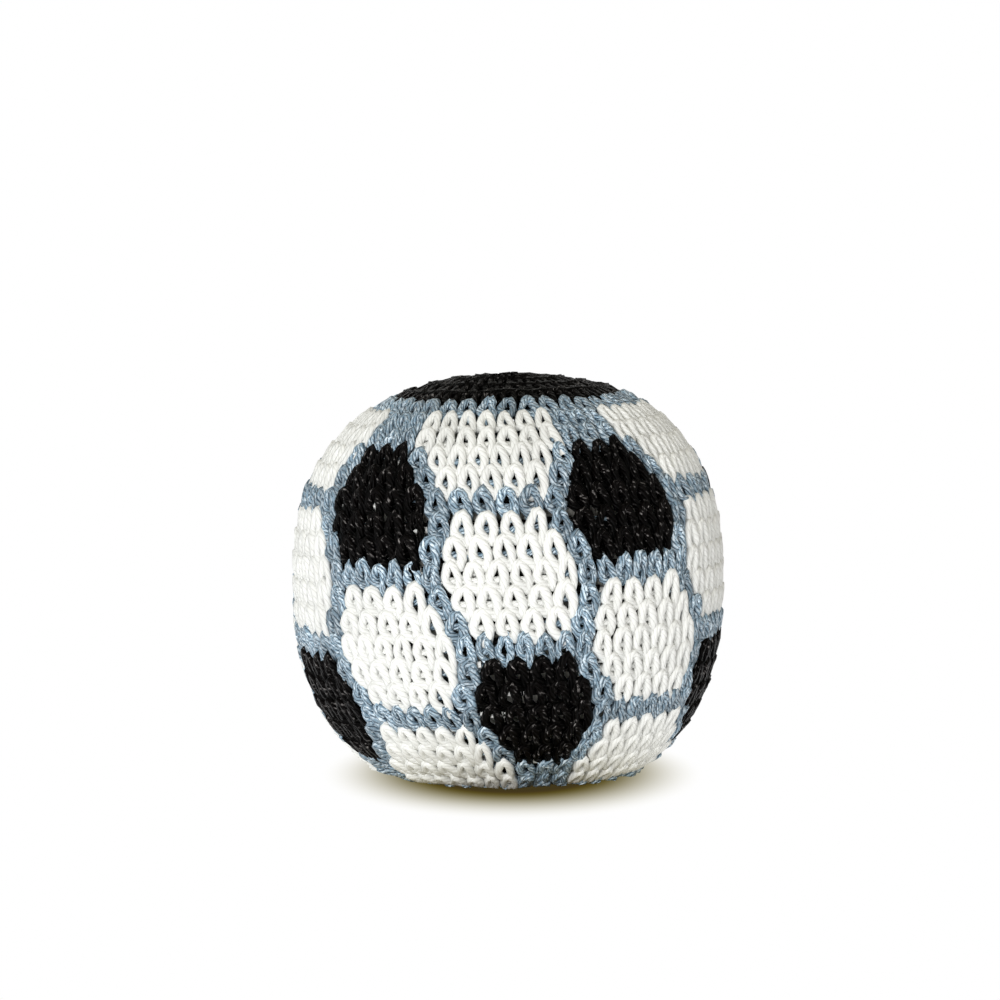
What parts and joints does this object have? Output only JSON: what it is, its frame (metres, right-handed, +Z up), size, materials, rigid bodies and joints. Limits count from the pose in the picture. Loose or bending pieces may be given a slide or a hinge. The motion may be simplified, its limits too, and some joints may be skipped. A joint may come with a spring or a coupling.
{
  "type": "footbag",
  "caption": "Soft crocheted footbag in a black and white football patch pattern with blue-grey seams, filled with loose pellets.",
  "frame": {"origin": "middle of the flat foot, on the surface the bag stands on", "axes": "+Z up through the crown, -Y towards the front"},
  "size_m": [0.058, 0.058, 0.0536],
  "materials": {
    "white_yarn": "crocheted off-white yarn",
    "black_yarn": "crocheted black yarn",
    "blue_grey_yarn": "crocheted blue-grey yarn with a slight sheen",
    "pellets": "smooth round plastic pellets"
  },
  "bodies": {
    "root": {"black_crown_patch": "black_yarn", "black_foot_patch": "black_yarn", "black_lower_patch_1": "black_yarn", "black_lower_patch_2": "black_yarn", "black_lower_patch_3": "black_yarn", "black_lower_patch_4": "black_yarn", "black_lower_patch_5": "black_yarn", "black_upper_patch_1": "black_yarn", "black_upper_patch_2": "black_yarn", "black_upper_patch_3": "black_yarn", "black_upper_patch_4": "black_yarn", "black_upper_patch_5": "black_yarn", "closing_knot": "black_yarn", "pellet_fill": "pellets", "seam_net": "blue_grey_yarn", "start_ring": "black_yarn", "white_crown_patch_1": "white_yarn", "white_crown_patch_2": "white_yarn", "white_crown_patch_3": "white_yarn", "white_crown_patch_4": "white_yarn", "white_crown_patch_5": "white_yarn", "white_foot_patch_1": "white_yarn", "white_foot_patch_2": "white_yarn", "white_foot_patch_3": "white_yarn", "white_foot_patch_4": "white_yarn", "white_foot_patch_5": "white_yarn", "white_lower_patch_1": "white_yarn", "white_lower_patch_2": "white_yarn", "white_lower_patch_3": "white_yarn", "white_lower_patch_4": "white_yarn", "white_lower_patch_5": "white_yarn", "white_upper_patch_1": "white_yarn", "white_upper_patch_2": "white_yarn", "white_upper_patch_3": "white_yarn", "white_upper_patch_4": "white_yarn", "white_upper_patch_5": "white_yarn"}
  },
  "joints": []
}
